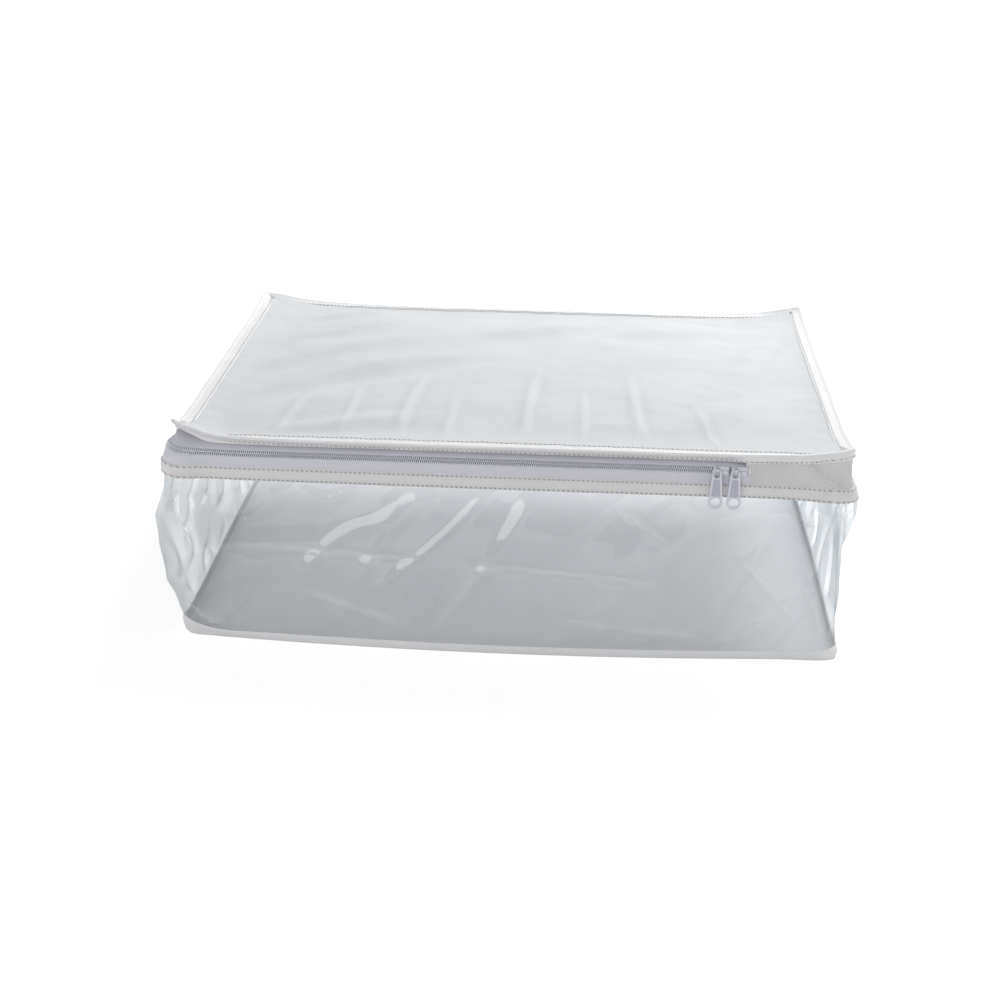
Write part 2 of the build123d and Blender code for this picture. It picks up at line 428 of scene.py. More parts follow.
def carried(tree, value, start, end, low=0.0, high=1.0, **settings):
    """A value carried over from one range to another."""
    return add(tree, "ShaderNodeMapRange", {"Value": value, "From Min": start, "From Max": end,
                                            "To Min": low, "To Max": high}, **settings).outputs[0]


def tinted(tree, share, low, high):
    """A colour between two ends, each of them a hex colour or a socket."""
    low, high = (linear(end) if isinstance(end, str) else end for end in (low, high))
    return add(tree, "ShaderNodeMix", {0: share, 6: low, 7: high}, data_type="RGBA").outputs[2]


def grain(tree, place, scale, detail=2.0, rough=0.5):
    """Cloudy noise from 0 to 1."""
    return add(tree, "ShaderNodeTexNoise", {"Vector": place, "Scale": scale, "Detail": detail,
                                            "Roughness": rough}).outputs["Fac"]


def stripes(tree, place, pitch, turn=0, direction="X"):
    """Soft bands, one to a pitch, turned by some degrees."""
    if turn:
        rotation = (0, 0, math.radians(turn))
        place = add(tree, "ShaderNodeMapping", {"Vector": place, "Rotation": rotation}).outputs[0]
    scale = math.pi / (10 * pitch)
    return add(tree, "ShaderNodeTexWave", {"Vector": place, "Scale": scale},
               bands_direction=direction).outputs["Fac"]


def bumps(tree, height, strength, distance):
    """A surface direction roughened by a pattern."""
    return add(tree, "ShaderNodeBump", {"Height": height, "Strength": strength,
                                        "Distance": distance}).outputs[0]


def surface(tree, colour, rough, **more):
    """A plain surface; more are its other inputs, such as sheen_weight."""
    inputs = {"Base Color": colour, "Roughness": rough}
    inputs.update((key.replace("_", " ").title(), value) for key, value in more.items())
    return add(tree, "ShaderNodeBsdfPrincipled", inputs).outputs[0]


def mixed(tree, share, first, second):
    """Two shaders, the second with the given share."""
    return add(tree, "ShaderNodeMixShader", {0: share, 1: first, 2: second}).outputs[0]


def spunbond(name, colour, shade, pitch, strength, glow=0.0):
    """Spun-bonded polypropylene: matt, slightly fibrous, with calendered dots on a diagonal
    lattice. The real dots are about 1.2 mm apart, and are drawn coarser so that they show.
    Where it is thin, glow is the share of light that comes through it."""
    material, tree, place = new_material(name, flat=True)
    dots = sums(tree, "MULTIPLY", *(stripes(tree, place, pitch, turn) for turn in (38, -38)))
    fibres = grain(tree, place, 900.0, 3.0)
    cloud = grain(tree, place, 14.0, 4.0)
    tint = tinted(tree, layered(tree, (dots, 0.35), (fibres, 0.25), (cloud, 0.45)), colour, shade)
    normal = bumps(tree, sums(tree, "MULTIPLY_ADD", dots, -1.0, fibres), strength, 0.25 * MM)
    cloth = surface(tree, tint, 0.82, sheen_weight=0.15, sheen_roughness=0.5, normal=normal)
    if glow:
        through = add(tree, "ShaderNodeBsdfTranslucent", {"Color": tint, "Normal": normal})
        cloth = mixed(tree, glow, cloth, through.outputs[0])
    return finished(material, cloth)


def woven_tape(name, colour, shade, thread, lid_edge_shade=None):
    """Polyester twill tape: fine ribs across a smooth, faintly shiny weave, with painted shade
    beneath the coil, where its meshed turns would shut out the light. Given a last colour, it
    also greys towards the top: painted shade under the lid's rolled edge."""
    material, tree, place = new_material(name, flat=True)
    ribs = stripes(tree, place, thread, 32)
    tint = tinted(tree, layered(tree, (ribs, 0.6), (grain(tree, place, 700.0), 0.4)), shade, colour)
    tall = add(tree, "ShaderNodeSeparateXYZ", {0: place}).outputs["Y"]
    off = sums(tree, "ABSOLUTE", sums(tree, "SUBTRACT", tall, CHAIN_MID))
    # Painted shade: the tape is mixed to a darker grey within a few millimetres of the chain's middle, under
    # the coil's turns.
    tint = tinted(tree, carried(tree, off, 2.2 * MM, 2.9 * MM, 1.0, 0.0), tint, "#83849A")
    # Painted shade: given this colour, the tape greys from the chain's top up to the binding, under the lid's
    # rolled edge.
    if lid_edge_shade:
        tint = tinted(tree, carried(tree, tall, CHAIN_TOP, BINDING_LOW), tint, lid_edge_shade)
    normal = bumps(tree, ribs, 0.5, 0.15 * MM)
    return finished(material, surface(tree, tint, 0.55, sheen_weight=0.2, normal=normal))


def smooth_tape(name, colour, shade):
    """Calendered binding tape: soft satin, with the odd scuff and a faint cross grain."""
    material, tree, place = new_material(name, flat=True)
    stretched = add(tree, "ShaderNodeMapping", {"Vector": place, "Scale": (1.0, 6.0, 1.0)}).outputs[0]
    scuffs = grain(tree, stretched, 160.0, 4.0)
    normal = bumps(tree, scuffs, 0.25, 0.2 * MM)
    tint = tinted(tree, scuffs, colour, shade)
    return finished(material, surface(tree, tint, 0.6, sheen_weight=0.1, normal=normal))


def sewing_thread():
    """Polyester lock-stitch thread: two plies, their light and shade painted as diagonal bands."""
    material, tree, place = new_material("polyester_thread")
    # Painted highlight and shade of the twisted plies, as diagonal bands.
    ply_light_and_shade = stripes(tree, place, 0.8 * MM, direction="DIAGONAL")
    return finished(material, surface(tree, tinted(tree, ply_light_and_shade, "#DCDBDA", "#F6F5F3"), 0.45))


def hole_shadow():
    """The shaded inside of a needle hole: a dull mid grey."""
    material, tree, place = new_material("needle_hole_shadow")
    tint = tinted(tree, grain(tree, place, 300.0), "#9C9A9B", "#B6B4B5")
    return finished(material, surface(tree, tint, 0.9))


def nylon_coil():
    """Dyed nylon monofilament: smooth white with a cool cast."""
    material, tree, place = new_material("nylon_coil")
    tint = tinted(tree, grain(tree, place, 60.0), "#ECEDF4", "#F8F8FC")
    return finished(material, surface(tree, tint, 0.32))


def enamel(name, low, high, rough):
    """Stove-enamelled cast zinc: a thin glossy lilac-grey coat, faintly rippled like a casting."""
    material, tree, place = new_material(name)
    ripple = grain(tree, place, 700.0)
    normal = bumps(tree, ripple, 0.08, 0.1 * MM)
    return finished(material, surface(tree, tinted(tree, ripple, low, high), rough, coat_weight=0.5,
                                      coat_roughness=0.08, normal=normal))


def clear_vinyl():
    """Clear plasticised PVC film: see-through with a cool cast, milky whitening along its creases
    that is partly real and partly painted highlight, and a wet-looking gloss that is strongest at a glance.

    The sheet is one face thick, so the gloss stands for both of its surfaces."""
    material, tree, place = new_material("clear_pvc_film")
    cloud = carried(tree, grain(tree, place, 9.0, 5.0, 0.65), 0.35, 0.75, 0.0, 0.06)
    # Crease whitening, also a painted highlight for the glints the creases catch, whatever the light.
    crease_whitening_and_glint = add(tree, "ShaderNodeAttribute", attribute_name="crease_whitening_and_glint").outputs["Fac"]
    haze = sums(tree, "MULTIPLY_ADD", crease_whitening_and_glint, 0.55, cloud)
    normal = bumps(tree, grain(tree, place, 55.0, 3.0), 0.12, 1 * MM)
    milk = surface(tree, linear("#F4F6F8"), 0.3)
    gloss = surface(tree, linear("#FFFFFF"), 0.05, metallic=1.0, normal=normal)
    slant = add(tree, "ShaderNodeLayerWeight", {"Blend": 0.5, "Normal": normal}).outputs["Facing"]
    tint = tinted(tree, sums(tree, "POWER", slant, 2.2), "#F9FAFB", "#8F999F")
    clear = add(tree, "ShaderNodeBsdfTransparent", {"Color": tint}).outputs[0]
    mirror = sums(tree, "MULTIPLY_ADD", sums(tree, "POWER", slant, 4.0), 0.62, 0.075)
    return finished(material, mixed(tree, mirror, mixed(tree, haze, clear, milk), gloss))


LID_CLOTH = spunbond("spunbond_lid_cloth", "#FAFBFC", "#DDE3E7", 2.7 * MM, 1.0, glow=0.18)
HEADER_CLOTH = spunbond("spunbond_header_cloth", "#F0F0F0", "#C6C6C8", 2.4 * MM, 1.0)
BASE_CLOTH = spunbond("spunbond_base_cloth", "#FAFAFB", "#EDEEF0", 2.7 * MM, 0.4)
BINDING_TAPE = smooth_tape("satin_binding_tape", "#F7F7F8", "#ECECEE")
FACING_TAPE = smooth_tape("satin_facing_tape", "#F1F0F1", "#E0DFE1")
ZIPPER_TAPE = woven_tape("polyester_zipper_tape", "#F0F0F6", "#C9C9D6", 1.6 * MM)
# The upper tape's material, with painted shade towards its top under the lid's edge.
UPPER_TAPE_SHADED = woven_tape("polyester_zipper_tape_shaded_top", "#E6E6ED", "#C4C4D0", 1.6 * MM, lid_edge_shade="#8F8F98")
THREAD = sewing_thread()
HOLE_SHADE = hole_shadow()
COIL = nylon_coil()
ENAMEL = enamel("stove_enamel", "#D6D8E3", "#E4E5EE", 0.24)
# Painted shade: a darker enamel for the floor of the pull's sunk panel; only its duller gloss is the finish's
# own.
SUNK_ENAMEL_SHADED = enamel("stove_enamel_sunk_shaded", "#B4B6C4", "#C2C4D1", 0.4)
VINYL = clear_vinyl()


def dress(piece, material):
    """Give a piece its material."""
    piece.data.materials.clear()
    piece.data.materials.append(material)
    return piece


# ---------------- the fold of the lid

FOLD = JOINTS["lid_flap_fold"]
FOLD_AXIS = Vector(FOLD["axis"]).normalized()
FOLD_OUT = FOLD_AXIS.cross(Vector((0, 0, 1))) * -1
if FOLD_OUT.dot(Vector((-1, -1, 0))) < 0:
    FOLD_OUT.negate()


def fold_with_lid(piece):
    """Bake a piece's place into its points, leaving it unbent and joined to no body."""
    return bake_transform(piece)


# ---------------- places round the outline

ZIP_START = -(HALF_Y + ZIP_LEFT_END)
ZIP_END = HALF_X + ZIP_FRONT_END
UPPER_RUNS = ("front_flap", "front_end", "left_flap", "left_end")


def zipped(s):
    """1 along the zipper, where the lid's edge rolls over it, fading to 0 on the sewn header."""
    inside = np.minimum(ZIP_END - s, s - ZIP_START)
    other_side = np.minimum(ZIP_END + PERIMETER - s, s - PERIMETER - ZIP_START)
    return ease((np.maximum(inside, other_side) + 6 * MM) / (30 * MM))


def pucker(row_z, depth=0.22 * MM, reach=2.2 * MM):
    """Dimples that a line of stitches pulls into the cloth beside it."""
    def relief(s, z):
        wave = np.cos(2 * math.pi * s / STITCH_PITCH)
        rows = row_z if isinstance(row_z, tuple) else (row_z,)
        near = sum(hump((z - row) / reach) for row in rows)
        return -depth * near * (0.6 + 0.4 * wave)
    return relief


def waver(s, size, length, seed):
    """Smooth uneven wandering along the outline, the same each run."""
    return np.array([noise.noise(Vector((v / length, seed, 0.3))) for v in np.ravel(s)]) * size


# ---------------- lid

def lid_height(x, y):
    """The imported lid: its edges sag between the corners and its middle is crowned."""
    u = np.clip(x / HALF_X, -1, 1)
    v = np.clip(y / HALF_Y, -1, 1)
    front, right, back, left = (edge_sag(s) for s in abreast(x, y, 0))
    wide = (1 + v) / 2
    deep = (1 + u) / 2
    ruled = front * (1 - wide) + back * wide + left * (1 - deep) + right * deep
    ends = [edge_sag(np.array([start])) for start in SIDE_START]
    corner_mix = (ends[0] * (1 - deep) * (1 - wide) + ends[1] * deep * (1 - wide)
                  + ends[2] * deep * wide + ends[3] * (1 - deep) * wide)
    crown = CROWN * (1 - np.abs(u) ** 3.2) ** 1.2 * (1 - np.abs(v) ** 3.0) ** 1.1
    crown = crown * (1 - 0.10 * u + 0.05 * v)
    from_corner = np.hypot(x + HALF_X, y + HALF_Y)
    return TOP - FABRIC + ruled - corner_mix + crown + CORNER_LIFT * hump(from_corner / EAR_REACH)


def ridge(x, y, ax, ay, bx, by, height, wide, curve):
    """A soft wrinkle along a slightly curved line from a to b on the lid."""
    length = math.hypot(bx - ax, by - ay)
    run_x, run_y = (bx - ax) / length, (by - ay) / length
    t = ((x - ax) * run_x + (y - ay) * run_y) / length
    across = (y - ay) * run_x - (x - ax) * run_y - curve * 4 * t * (1 - t)
    fade = ease(t / 0.25) * ease((1 - t) / 0.55)
    return height * fade * (hump(across / wide) - 0.5 * hump((across + 1.6 * wide) / wide))


# Start and end in plan, height, half width and curve of each wrinkle, in millimetres.
LID_WRINKLES = (
    (-270, -110, 20, 30, 4.2, 15, 18),
    (-275, -30, -60, 90, 3.6, 13, 14),
    (-260, 70, -80, 180, 3.0, 11, -10),
    (-240, 150, -120, 205, 2.4, 8, 4),
    (-60, 70, 150, 205, 3.2, 14, -12),
    (60, 100, 270, 150, 2.4, 16, 10),
    (130, -190, 275, -60, 2.2, 15, 10),
    (-230, -195, -50, -150, 2.2, 12, 6),
    (205, 10, 280, 190, 1.8, 10, -6),
    (-215, -200, -185, -60, 1.0, 5, 6),
    (-160, -205, -150, -40, 0.9, 4, -3),
    (-105, -200, -85, -20, 1.3, 5, 4),
    (-60, -205, -55, -80, 0.9, 4, 2),
    (10, -200, 20, 10, 1.2, 5, 3),
    (62, -205, 60, -50, 0.9, 4, -2),
    (118, -200, 108, 0, 1.2, 5, 4),
    (185, -200, 165, -90, 0.9, 4, 3),
)


def lid_surface(x, y):
    """The lid's true height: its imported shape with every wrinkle, which its binding follows too."""
    z = lid_height(x, y)
    from_side = HALF_X - np.abs(x)
    from_end = HALF_Y - np.abs(y)
    inside = ease(from_side / (45 * MM)) * ease(from_end / (45 * MM))
    for wrinkle in LID_WRINKLES:
        z = z + WRINKLE_GAIN * inside * ridge(x, y, *(length * MM for length in wrinkle))
    crumple = [noise.fractal(Vector((px * 9, py * 13, 2.0)), 1.0, 2.0, 4) for px, py in zip(x, y)]
    drawn = [noise.noise(Vector((px * 60, py * 60, 5.0))) for px, py in zip(x, y)]
    near_edge = hump((from_end - 16 * MM) / (9 * MM)) + hump((from_side - 16 * MM) / (9 * MM))
    return z + inside * 2.4 * MM * np.array(crumple) + 0.9 * MM * np.array(drawn) * near_edge


def lid():
    """The fabric lid, one sheet from edge to edge."""
    cloth, along, across = flat_grid("lid_cloth", 230, 172)
    x = (2 * along - 1) * (HALF_X - 1.2 * MM)
    y = (2 * across - 1) * (HALF_Y - 1.2 * MM)
    keep_flat_places(cloth, np.column_stack([x, y]))
    move_points(cloth, np.column_stack([x, y, lid_surface(x, y)]))
    finish_modifier(cloth, "SOLIDIFY", thickness=FABRIC, offset=-1)
    smooth(cloth, 60)
    dress(cloth, LID_CLOTH)
    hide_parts("top_panel", "top_panel_flap")
    return fold_with_lid(cloth)


def top_binding():
    """Binding tape folded over the top edge, overhanging the header by a millimetre or two."""
    section = profile(
        (-0.5, BINDING_LOW, -0.9), (0.8, BINDING_LOW, -0.5), (1.0, BINDING_LOW, 2), (0.9, TOP, -2.4),
        (1.5, TOP, -0.6), (0.9, TOP, 1.2), (-1.3, TOP, 1.4), (-3.0, TOP, 0.7), (-8.0, TOP, 0.6),
        (-BINDING_WIDE / MM, TOP, 0.35))

    def relief(s, z):
        tucked = zipped(s) * 5.5 * MM * ease((TOP - 0.5 * MM - z) / (5 * MM))
        return waver(s, 0.7 * MM, 38 * MM, 4.0) - tucked
    tape = ribbon("top_binding", 0, PERIMETER, section, 2.6 * MM, thick=0.7 * MM, relief=relief, rows=27)
    settle_on_lid(tape)
    dress(tape, BINDING_TAPE)
    nodes = [f"top_binding_{side}" for side in ("front", "front_flap", "left", "left_flap", "right", "back")]
    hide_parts(*nodes)
    return fold_with_lid(tape)


def settle_on_lid(piece):
    """Lay the inward leaf of a draped tape on the lid."""
    co = points(piece)
    x, y = co[:, 0], co[:, 1]
    scale = np.minimum(HALF_X / np.maximum(np.abs(x), 1e-6), HALF_Y / np.maximum(np.abs(y), 1e-6))
    rise = lid_surface(x, y) - lid_surface(x * scale, y * scale)
    inward = np.minimum(HALF_X - np.abs(x), HALF_Y - np.abs(y)) > 0
    co[:, 2] += np.where(inward & (co[:, 2] > BINDING_LOW - 10 * MM), rise, 0)
    move_points(piece, co)


# ---------------- header

def header_band():
    """Plain fabric header from the zipper's front end, round the right and back."""
    overlap = 4 * MM
    start, end = ZIP_END - overlap, PERIMETER + ZIP_START + overlap
    section = profile((-0.9, TAPE_LOW, 0), (-0.6, STRIP_TOP, 0), (-0.3, CHAIN_MID, 0), (-0.6, BINDING_LOW, 0),
                      (-2.4, TOP, -1.2))

    def relief(s, z):
        fold = waver(s, 1.6 * MM, 26 * MM, 7.0) * hump((z - CHAIN_MID) / (9 * MM))
        tuck = corner_gap(s, 1)
        drawn = -5.0 * MM * hump((tuck + 26 * MM + (z - CHAIN_MID) * 1.2) / (7 * MM))
        puff = 2.6 * MM * hump((tuck + 48 * MM + (z - CHAIN_MID) * 1.5) / (13 * MM))
        return fold + (drawn + puff) * ease((BINDING_LOW - z) / (5 * MM)) * ease((z - STRIP_TOP) / (4 * MM))
    band = ribbon("header_band", start, end, section, 2.6 * MM, relief=relief, rows=22)
    dress(band, HEADER_CLOTH)
    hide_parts("header_front_patch", "header_right", "header_back", "header_left_patch")
    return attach(band, "bag")


STITCH_ROW_TOP = STRIP_TOP - 1.2 * MM
STITCH_ROW_LOW = STRIP_LOW + 1.2 * MM


def facing_strip():
    """Strip stitched over the seam between the header and the film, all round."""
    section = profile(
        (-0.4, STRIP_LOW, -0.3), (0.5, STRIP_LOW, 0.2), (0.5, STITCH_ROW_LOW, 0), (1.1, STRIP_LOW, 3.6),
        (1.3, (STRIP_LOW + STRIP_TOP) / 2, 0), (1.1, STRIP_TOP, -3.6), (0.5, STITCH_ROW_TOP, 0),
        (0.6, STRIP_TOP, -0.2), (-0.3, STRIP_TOP, 0.3))
    strip = ribbon("facing_strip", 0, PERIMETER, section, 1.08 * MM, rows=16,
                   relief=pucker((STITCH_ROW_LOW, STITCH_ROW_TOP)))
    dress(strip, FACING_TAPE)
    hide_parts(*(f"facing_strip_{side}" for side in ("front", "back", "left", "right")))
    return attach(strip, "bag")


def stitch():
    """One lock stitch lying along X, slightly slanted."""
    return bead("stitch", 6, 4, (2.9, 1.3, 1.25), slant=(2, 0, 0.3), turn=90)


def needle_hole():
    """The small dimple between two stitches, where the thread dives into the cloth: a bead that carries the
    hole's painted shade.
    """
    return bead("needle_hole", 8, 4, (2.3, 0.4, 1.25), slant=(2, 0, -0.35))


def stitch_rows():
    """Every visible row of lock stitches, each with its needle holes half a stitch out of step."""
    def tucked(s):
        return -zipped(s) * 5.3 * MM
    wall_z = BINDING_LOW + 1.3 * MM
    leaf = -BINDING_WIDE + 1.8 * MM
    half = STITCH_PITCH / 2
    rows = (("strip_top", (1.0 * MM, STITCH_ROW_TOP), (0.7 * MM, STITCH_ROW_TOP), None),
            ("strip_low", (1.05 * MM, STITCH_ROW_LOW), (0.75 * MM, STITCH_ROW_LOW), None),
            ("binding_wall", (1.4 * MM, wall_z), (1.1 * MM, wall_z), tucked),
            ("binding_top", (leaf, TOP + 1.0 * MM), (leaf, TOP + 0.75 * MM), None))
    for name, over, sunk, follow in rows:
        stitches = row_of("stitches_" + name, stitch(), STITCH_PITCH, 0, PERIMETER, *over, follow)
        holes = row_of("needle_holes_" + name, needle_hole(), STITCH_PITCH, half, PERIMETER + half,
                       *sunk, follow)
        # The needle-hole beads are painted shade: dull grey where the thread dives into the cloth.
        for row, material in ((stitches, THREAD), (holes, HOLE_SHADE)):
            if name == "binding_top":
                settle_on_lid(row)
            if name.startswith("strip"):
                dress(smooth(row), material)
                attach(row, "bag")
            else:
                dress(smooth(row), material)
                fold_with_lid(row)


# ---------------- zipper

def zipper_tapes():
    """Lower tape, which stays with the bag, and upper tape, which on the real box peels away with the flap
    but here is joined to no body.
    """
    lower_section = profile((-0.9, TAPE_LOW, 0), (-0.5, STRIP_TOP, 0), (0.2, STRIP_TOP, 3),
                            (0.1, CHAIN_LOW, -2), (-0.7, CHAIN_LOW, 0.5), (-0.9, CHAIN_MID, -0.3))

    def ripple(s, z):
        return waver(s, 0.8 * MM, 18 * MM, 11.0) * hump((z - STRIP_TOP - 4 * MM) / (4 * MM))
    lower = ribbon("zipper_tape_lower", ZIP_START, ZIP_END, lower_section, 2.2 * MM, relief=ripple, rows=15)
    dress(lower, ZIPPER_TAPE)
    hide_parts("zipper_tape_lower_front", "zipper_tape_lower_left")
    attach(lower, "bag")

    upper_section = profile((-0.9, CHAIN_MID, 0.3), (-0.8, CHAIN_TOP, -0.5), (-3.2, CHAIN_TOP, 2.0),
                            (-4.6, BINDING_LOW, -4), (-5.2, BINDING_LOW, 1), (-3.0, TOP, -1.4))
    upper = ribbon("zipper_tape_upper", ZIP_START, ZIP_END, upper_section, 2.2 * MM, rows=15)
    # The upper tape's painted shade under the lid's edge comes with this material.
    dress(upper, UPPER_TAPE_SHADED)
    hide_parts(*(f"zipper_tape_upper_{end}" for end in UPPER_RUNS))
    fold_with_lid(upper)


def tooth():
    """One turn of the coil, seen from the front as a short rounded bar."""
    return bead("tooth", 8, 6, (0.98, 2.2, 3.15), slant=(0, 2, 0.10))


def coils():
    """The two halves of the chain, their turns meshing half a pitch apart."""
    start, end = ZIP_START + STOP_LONG, ZIP_END - STOP_LONG
    reach = 1.35 * MM
    lower = row_of("zipper_coil_lower", tooth(), TOOTH_PITCH, start, end, 0.1 * MM, CHAIN_MID - reach)
    dress(smooth(lower), COIL)
    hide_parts("zipper_coil_lower_front", "zipper_coil_lower_left")
    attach(lower, "bag")
    upper = row_of("zipper_coil_upper", tooth(), TOOTH_PITCH, start + TOOTH_PITCH / 2, end, 0.1 * MM,
                   CHAIN_MID + reach)
    dress(smooth(upper), COIL)
    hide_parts(*(f"zipper_coil_upper_{end}" for end in UPPER_RUNS))
    fold_with_lid(upper)


def stops():
    """Welded blocks at the two ends of the chain."""
    size = (STOP_LONG, 2.4 * MM, CHAIN_TOP - CHAIN_LOW)
    for name, middle in (("zipper_stop_front", ZIP_END - STOP_LONG / 2),
                         ("zipper_stop_left", ZIP_START + STOP_LONG / 2)):
        block = add_shape(name + "_block", bpy.ops.mesh.primitive_cube_add, size=1)
        bpy.ops.transform.resize(value=size)
        freeze(block)
        finish_modifier(block, "BEVEL", width=0.5 * MM, segments=3)
        co = points(block)
        move_points(block, wrap(middle + co[:, 0], 0.1 * MM - co[:, 1], CHAIN_MID + co[:, 2]))
        dress(smooth(block), COIL)
        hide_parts(name)
        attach(block, "bag")


# ---------------- sliders and pulls

def shift_at(x):
    """How far the draped chain lies from its flat place at a slider."""
    place = wrap(np.array([x + HALF_X]), np.array([0.0]), np.array([CHAIN_MID]))[0]
    return Vector((0, place[1] + HALF_Y, place[2] - CHAIN_MID))


def rounded_block(name, low, high, width, segments=3):
    """A box between two corners with all its edges rounded."""
    centre = [(a + b) / 2 for a, b in zip(low, high)]
    piece = add_shape(name, bpy.ops.mesh.primitive_cube_add, size=1, location=centre)
    bpy.ops.transform.resize(value=[b - a for a, b in zip(low, high)])
    freeze(piece)
    return finish_modifier(piece, "BEVEL", width=width, segments=segments, limit_method="NONE")


def slider(side):
    """A coil slider: domed front plate, back plate, side lips and the bridge for its pull."""
    low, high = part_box(f"slider_{side}")
    hinge = Vector(JOINTS[f"pull_{side}_swing"]["pos_m"])
    middle = (low.x + high.x) / 2
    half_long = (high.x - low.x) / 2
    tall = min(high.z - CHAIN_MID, CHAIN_MID - low.z)
    plate_out = hinge.y + 1.5 * MM
    plate_in = plate_out + 1.4 * MM
    back_out = high.y
    z = (CHAIN_MID - tall, CHAIN_MID + tall)
    x = (middle - half_long, middle + half_long)
    front = rounded_block("front", (x[0], plate_out, z[0]), (x[1], plate_in, z[1]), 0.62 * MM, 4)
    co = points(front)
    nose = ease((co[:, 0] - middle + 1 * MM) / half_long)
    co[:, 2] = CHAIN_MID + (co[:, 2] - CHAIN_MID) * (1 - 0.16 * (1 - nose))
    co[:, 1] -= 0.35 * MM * (1 - np.square((co[:, 2] - CHAIN_MID) / tall)) * (co[:, 1] < plate_in - 0.5 * MM)
    move_points(front, co)
    back = rounded_block("back", (x[0], back_out - 1.4 * MM, z[0]), (x[1], back_out, z[1]), 0.5 * MM)
    lips = []
    for sign in (-1, 1):
        edge = sorted((CHAIN_MID + sign * tall * 0.99, CHAIN_MID + sign * (tall - 1.2 * MM)))
        lips.append(rounded_block("lip", (x[0] + 2.2 * MM, plate_in - 0.8 * MM, edge[0]),
                                  (x[1] - 2.2 * MM, plate_in + 2.1 * MM, edge[1]), 0.35 * MM))
    neck = rounded_block("neck", (x[1] - 5.0 * MM, plate_in - 0.4 * MM, CHAIN_MID - 0.2 * MM),
                         (x[1] - 2.2 * MM, back_out - 1.2 * MM, CHAIN_MID + 0.2 * MM), 0.08 * MM)
    loop = bridge_loop(hinge, plate_out)
    cap = bridge_cap(hinge, plate_out, x[1])
    body = join(f"slider_{side}_body", [front, back, neck, loop, cap] + lips)
    body.data.transform(Matrix.Translation(shift_at(middle)))
    dress(smooth(body), ENAMEL)
    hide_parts(f"slider_{side}")
    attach(body, f"slider_{side}")
    return shift_at(middle)


def bridge_loop(hinge, plate_out):
    """The staple-shaped loop that the pull's rim turns in."""
    half_window, bar, wide = 1.5 * MM, 1.1 * MM, 1.0 * MM
    reach = half_window + bar
    arms = []
    for sign in (-1, 1):
        edge = sorted((hinge.z + sign * half_window, hinge.z + sign * reach))
        arms.append(rounded_block("arm", (hinge.x - wide, plate_out - 2 * half_window - bar, edge[0]),
                                  (hinge.x + wide, plate_out + 0.6 * MM, edge[1]), 0.34 * MM))
    face = rounded_block("face", (hinge.x - wide, plate_out - 2 * half_window - bar, hinge.z - reach),
                         (hinge.x + wide, plate_out - 2 * half_window, hinge.z + reach), 0.34 * MM)
    return join("loop", [face] + arms)


def bridge_cap(hinge, plate_out, x_end):
    """The raised bar that runs on from the loop to the slider's end."""
    start = hinge.x + 4.9 * MM
    end = x_end - 1.0 * MM
    bar = freeze(add_shape("bar", bpy.ops.mesh.primitive_cylinder_add, vertices=24, radius=1.2 * MM,
                           depth=end - start, location=((start + end) / 2, plate_out - 1.4 * MM, CHAIN_MID),
                           rotation=(0, math.radians(90), 0)))
    finish_modifier(bar, "BEVEL", width=0.4 * MM, segments=3)
    foot = rounded_block("foot", (start, plate_out - 1.4 * MM, CHAIN_MID - 1.2 * MM),
                         (end, plate_out + 0.6 * MM, CHAIN_MID + 1.2 * MM), 0.3 * MM)
    return join("cap", [bar, foot])


def disc(radius, depth, x, y, z, vertices):
    """A round plate that faces the front."""
    return freeze(add_shape("disc", bpy.ops.mesh.primitive_cylinder_add, vertices=vertices, radius=radius,
                            depth=depth, location=(x, y, z), rotation=(math.radians(90), 0, 0)))


def hull_of(name, pieces):
    """One convex solid round several."""
    piece = join(name, pieces)
    take(piece)
    bpy.ops.object.mode_set(mode="EDIT")
    bpy.ops.mesh.select_all(action="SELECT")
    bpy.ops.mesh.convex_hull()
    bpy.ops.object.mode_set(mode="OBJECT")
    return piece


def cut(piece, tool):
    """Cut one solid out of another."""
    finish_modifier(piece, "BOOLEAN", operation="DIFFERENCE", object=tool, solver="EXACT")
    bpy.data.objects.remove(tool, do_unlink=True)
    return piece


